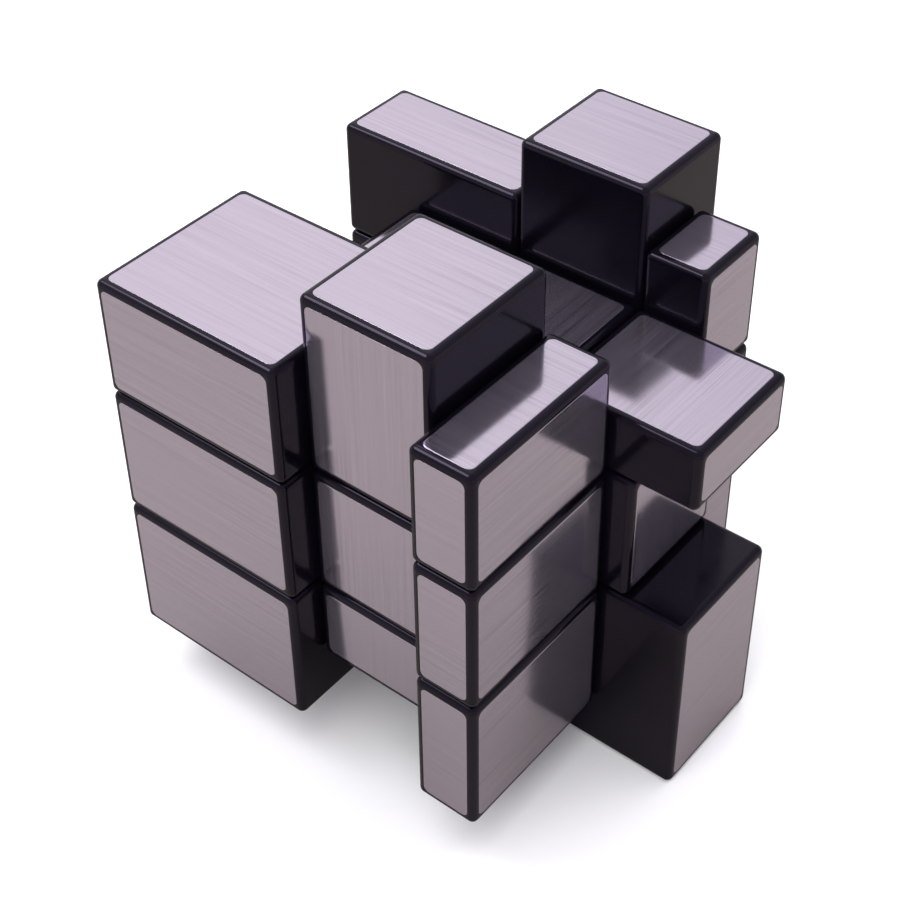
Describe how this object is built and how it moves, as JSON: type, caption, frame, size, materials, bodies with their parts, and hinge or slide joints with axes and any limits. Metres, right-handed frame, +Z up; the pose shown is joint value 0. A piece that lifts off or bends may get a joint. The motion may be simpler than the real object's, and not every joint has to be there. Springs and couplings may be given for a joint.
{
  "type": "mirror block cube",
  "caption": "Twisting cube puzzle of black blocks with unequal heights and brushed metal foils, scrambled, on a sprung core with turning top and bottom layers.",
  "frame": {"origin": "on the surface the puzzle stands on, under the middle of its outline", "axes": "+Z up along the turning axis of the top and bottom layers, +X to the right face, -Y to the front face"},
  "size_m": [0.069, 0.0616, 0.0735],
  "materials": {
    "black_block_plastic": "polished black ABS",
    "foot_plastic": "moulded black ABS",
    "core_plastic": "moulded nylon",
    "brushed_foil": "brushed, mirror-like",
    "screw_steel": "bright zinc plated",
    "spring_steel": "drawn wire"
  },
  "bodies": {
    "middle_layer": {"back_centre_base": "foot_plastic", "back_centre_cap": "black_block_plastic", "back_left_edge_foot": "foot_plastic", "back_left_edge_shell": "black_block_plastic", "back_right_edge_foot": "foot_plastic", "back_right_edge_shell": "black_block_plastic", "centre_screws": "screw_steel", "core": "core_plastic", "front_centre_base": "foot_plastic", "front_centre_cap": "black_block_plastic", "front_left_edge_foot": "foot_plastic", "front_left_edge_shell": "black_block_plastic", "front_right_edge_foot": "foot_plastic", "front_right_edge_shell": "black_block_plastic", "left_centre_base": "foot_plastic", "left_centre_cap": "black_block_plastic", "middle_layer_foils": "brushed_foil", "right_centre_base": "foot_plastic", "right_centre_cap": "black_block_plastic", "screw_washers": "screw_steel", "tension_springs": "spring_steel"},
    "top_layer": {"top_back_edge_foot": "foot_plastic", "top_back_edge_shell": "black_block_plastic", "top_back_left_corner_foot": "foot_plastic", "top_back_left_corner_shell": "black_block_plastic", "top_back_right_corner_foot": "foot_plastic", "top_back_right_corner_shell": "black_block_plastic", "top_centre_base": "foot_plastic", "top_centre_cap": "black_block_plastic", "top_front_edge_foot": "foot_plastic", "top_front_edge_shell": "black_block_plastic", "top_front_left_corner_foot": "foot_plastic", "top_front_left_corner_shell": "black_block_plastic", "top_front_right_corner_foot": "foot_plastic", "top_front_right_corner_shell": "black_block_plastic", "top_layer_foils": "brushed_foil", "top_left_edge_foot": "foot_plastic", "top_left_edge_shell": "black_block_plastic", "top_right_edge_foot": "foot_plastic", "top_right_edge_shell": "black_block_plastic"},
    "bottom_layer": {"bottom_back_edge_foot": "foot_plastic", "bottom_back_edge_shell": "black_block_plastic", "bottom_back_left_corner_foot": "foot_plastic", "bottom_back_left_corner_shell": "black_block_plastic", "bottom_back_right_corner_foot": "foot_plastic", "bottom_back_right_corner_shell": "black_block_plastic", "bottom_centre_base": "foot_plastic", "bottom_centre_cap": "black_block_plastic", "bottom_front_edge_foot": "foot_plastic", "bottom_front_edge_shell": "black_block_plastic", "bottom_front_left_corner_foot": "foot_plastic", "bottom_front_left_corner_shell": "black_block_plastic", "bottom_front_right_corner_foot": "foot_plastic", "bottom_front_right_corner_shell": "black_block_plastic", "bottom_layer_foils": "brushed_foil", "bottom_left_edge_foot": "foot_plastic", "bottom_left_edge_shell": "black_block_plastic", "bottom_right_edge_foot": "foot_plastic", "bottom_right_edge_shell": "black_block_plastic"}
  },
  "joints": [
    {"name": "top_layer_turn", "type": "hinge", "parent": "middle_layer", "child": "top_layer", "pos_m": [0.004, 0.00425, 0.0385], "axis": [0, 0, 1], "continuous": true},
    {"name": "bottom_layer_turn", "type": "hinge", "parent": "middle_layer", "child": "bottom_layer", "pos_m": [0.004, 0.00425, 0.0385], "axis": [0, 0, 1], "continuous": true}
  ]
}
